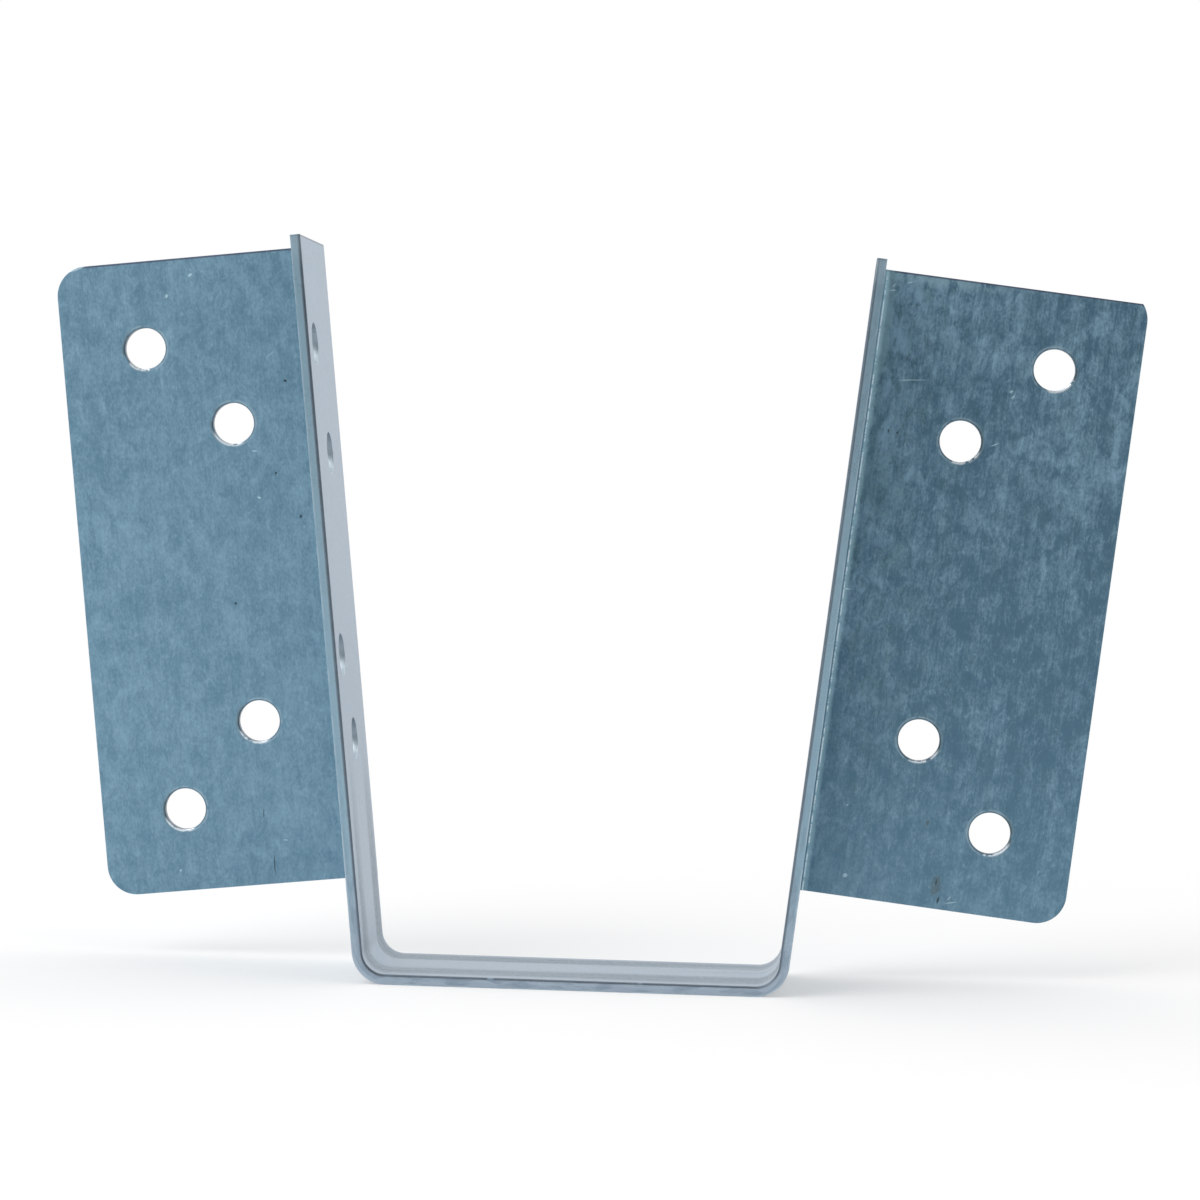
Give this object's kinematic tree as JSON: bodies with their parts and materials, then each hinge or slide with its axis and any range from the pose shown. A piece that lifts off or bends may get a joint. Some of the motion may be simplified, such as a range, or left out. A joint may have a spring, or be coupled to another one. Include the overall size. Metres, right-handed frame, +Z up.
{
  "type": "joist hanger",
  "caption": "Light joist hanger folded from one strip of galvanised sheet: a U-shaped strap that holds the joist, with a nailing flange turned outward from each wall.",
  "frame": {"origin": "under the middle of the hanger, level with the underside of its seat", "axes": "+X to the right across the joist, +Y towards the beam that carries the hanger, +Z up"},
  "size_m": [0.1322, 0.0232, 0.087],
  "materials": {
    "galvanised_sheet": "dull blue-grey galvanised sheet with fine rolling lines and faint zinc mottling"
  },
  "bodies": {
    "root": {"hanger": "galvanised_sheet"}
  },
  "joints": []
}
